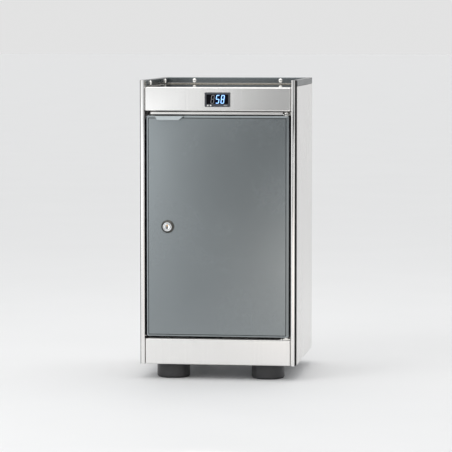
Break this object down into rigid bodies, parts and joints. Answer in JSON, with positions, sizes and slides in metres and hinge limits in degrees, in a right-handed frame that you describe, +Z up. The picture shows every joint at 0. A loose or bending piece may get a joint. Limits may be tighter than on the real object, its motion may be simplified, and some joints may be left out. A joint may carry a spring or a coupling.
{
  "type": "tool sterilizer cabinet",
  "caption": "Counter-top ultraviolet tool cabinet: a sheet-steel case with a lockable hinged door, shelves, a lamp, a display fascia and a low gallery round the top.",
  "frame": {"origin": "centre of the footprint, on the surface that the feet stand on", "axes": "+Z up, +X to the right of someone facing the door, +Y from the door to the rear panel"},
  "size_m": [0.2898, 0.3132, 0.552],
  "materials": {
    "stainless": "fine vertical brushing",
    "polished_steel": "mirror polished",
    "grey_paint": "satin blue-grey powder coat",
    "rail_paint": "satin dark blue-grey powder coat",
    "chrome": "bright plated",
    "zinc_steel": "zinc plated",
    "aluminium": "bright rolled",
    "rubber": "matt moulded",
    "black_plastic": "fine texture",
    "dark_plastic": "fine texture",
    "white_plastic": "satin moulded",
    "smoked_lens": "dark glossy lens",
    "lamp_glass": "clear quartz glass"
  },
  "bodies": {
    "cabinet": {"left_side_panel": "stainless", "right_side_panel": "stainless", "rear_panel": "stainless", "left_front_post": "stainless", "right_front_post": "stainless", "control_fascia": "stainless", "kick_panel": "stainless", "header_strip": "stainless", "deck_edging": "stainless", "chamber_left_wall": "stainless", "chamber_right_wall": "stainless", "chamber_ceiling": "stainless", "chamber_floor": "stainless", "chamber_back_wall": "stainless", "lower_shelf": "stainless", "upper_shelf": "stainless", "top_deck": "polished_steel", "left_gallery_rail": "rail_paint", "right_gallery_rail": "rail_paint", "rear_gallery_rail": "rail_paint", "left_gallery_screw_1": "chrome", "left_gallery_screw_2": "chrome", "right_gallery_screw_1": "chrome", "right_gallery_screw_2": "chrome", "rear_gallery_screw_1": "chrome", "rear_gallery_screw_2": "chrome", "base_pan": "zinc_steel", "lamp_ballast": "zinc_steel", "lock_strike": "zinc_steel", "top_hinge_bracket": "zinc_steel", "bottom_hinge_bracket": "zinc_steel", "lamp_reflector": "aluminium", "door_gasket": "rubber", "front_left_foot": "rubber", "front_right_foot": "rubber", "rear_left_foot": "rubber", "rear_right_foot": "rubber", "left_joint_strip": "black_plastic", "right_joint_strip": "black_plastic", "door_switch": "black_plastic", "power_inlet": "black_plastic", "power_switch_housing": "black_plastic", "display_housing": "dark_plastic", "left_lamp_holder": "white_plastic", "right_lamp_holder": "white_plastic", "display_window": "smoked_lens", "uv_lamp_tube": "lamp_glass"},
    "door": {"door_skin": "grey_paint", "door_inner_panel": "stainless", "top_hinge_bush": "white_plastic", "bottom_hinge_bush": "white_plastic", "lock_barrel": "chrome", "lock_nut": "zinc_steel"},
    "lock": {"lock_plug": "chrome", "lock_cam": "zinc_steel"},
    "display_button_1": {"display_button_1": "white_plastic"},
    "display_button_2": {"display_button_2": "white_plastic"},
    "display_button_3": {"display_button_3": "white_plastic"},
    "power_rocker": {"power_switch_rocker": "black_plastic"},
    "door_switch_plunger": {"door_switch_plunger": "white_plastic"}
  },
  "joints": [
    {"name": "door_hinge", "type": "hinge", "parent": "cabinet", "child": "door", "pos_m": [0.1267, -0.14, 0.2836], "axis": [0, 0, 1], "range_deg": [0, 105]},
    {"name": "lock_turn", "type": "hinge", "parent": "door", "child": "lock", "pos_m": [-0.0923, -0.147, 0.283], "axis": [0, 1, 0], "range_deg": [0, 90]},
    {"name": "display_button_1_press", "type": "slide", "parent": "cabinet", "child": "display_button_1", "axis": [0, 1, 0], "range_m": [0, 0.0005], "stiffness_N_per_m": 400},
    {"name": "display_button_2_press", "type": "slide", "parent": "cabinet", "child": "display_button_2", "axis": [0, 1, 0], "range_m": [0, 0.0005], "stiffness_N_per_m": 400},
    {"name": "display_button_3_press", "type": "slide", "parent": "cabinet", "child": "display_button_3", "axis": [0, 1, 0], "range_m": [0, 0.0005], "stiffness_N_per_m": 400},
    {"name": "power_rocker_tilt", "type": "hinge", "parent": "cabinet", "child": "power_rocker", "pos_m": [0.048, 0.1519, 0.51], "axis": [1, 0, 0], "range_deg": [0, 24]},
    {"name": "door_switch_press", "type": "slide", "parent": "cabinet", "child": "door_switch_plunger", "axis": [0, 1, 0], "range_m": [0, 0.0025], "stiffness_N_per_m": 200}
  ]
}
